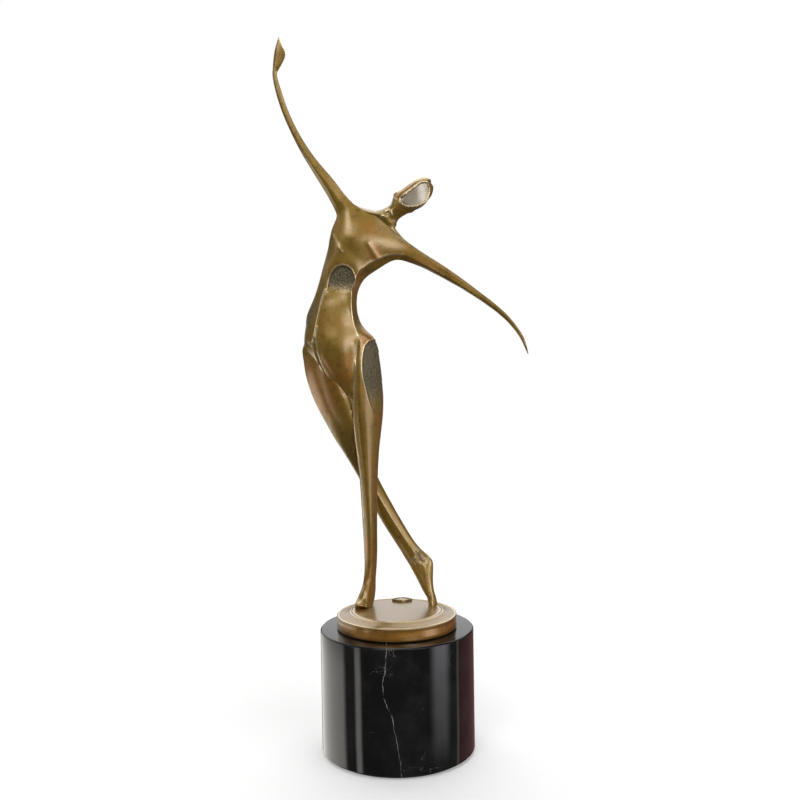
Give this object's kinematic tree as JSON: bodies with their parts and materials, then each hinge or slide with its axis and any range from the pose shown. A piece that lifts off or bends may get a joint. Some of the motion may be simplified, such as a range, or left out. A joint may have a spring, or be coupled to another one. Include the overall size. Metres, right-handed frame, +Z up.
{
  "type": "bronze statuette",
  "caption": "Patinated bronze dancer with crossed legs and outstretched arms on a round bronze plate bolted to a black marble cylinder.",
  "frame": {"origin": "centre of the felt pad's underside, on the plinth's axis", "axes": "+Z up along the plinth's axis; the dancer faces -Y; +X is towards the lowered arm"},
  "size_m": [0.1652, 0.1, 0.471],
  "materials": {
    "patinated_bronze": "brown patina, waxed, rubbed bright along the ridges, dark in the rough pits",
    "plate_bronze": "brown patina with a rubbed bright rim",
    "black_marble": "polished black marble with thin white veins",
    "felt": "pressed wool felt",
    "zinc_steel": "zinc plated steel hardware"
  },
  "bodies": {
    "plinth": {"marble_plinth": "black_marble", "felt_pad": "felt", "plinth_washer": "zinc_steel"},
    "figure": {"torso": "patinated_bronze", "head": "patinated_bronze", "neck_dowel": "zinc_steel", "raised_arm": "patinated_bronze", "raised_arm_dowel": "zinc_steel", "lowered_arm": "patinated_bronze", "lowered_arm_dowel": "zinc_steel", "standing_leg": "patinated_bronze", "standing_leg_dowel": "zinc_steel", "crossing_leg": "patinated_bronze", "crossing_leg_dowel": "zinc_steel", "standing_foot_stud": "zinc_steel", "standing_foot_washer": "zinc_steel", "standing_foot_nut": "zinc_steel", "crossing_foot_stud": "zinc_steel", "crossing_foot_washer": "zinc_steel", "crossing_foot_nut": "zinc_steel", "base_plate": "plate_bronze", "foundry_seal": "plate_bronze", "centre_stud": "zinc_steel", "plinth_lock_washer": "zinc_steel", "plinth_nut": "zinc_steel"}
  },
  "joints": [
    {"name": "figure_turn", "type": "hinge", "parent": "plinth", "child": "figure", "pos_m": [0, 0, 0.081], "axis": [0, 0, 1], "continuous": true}
  ]
}
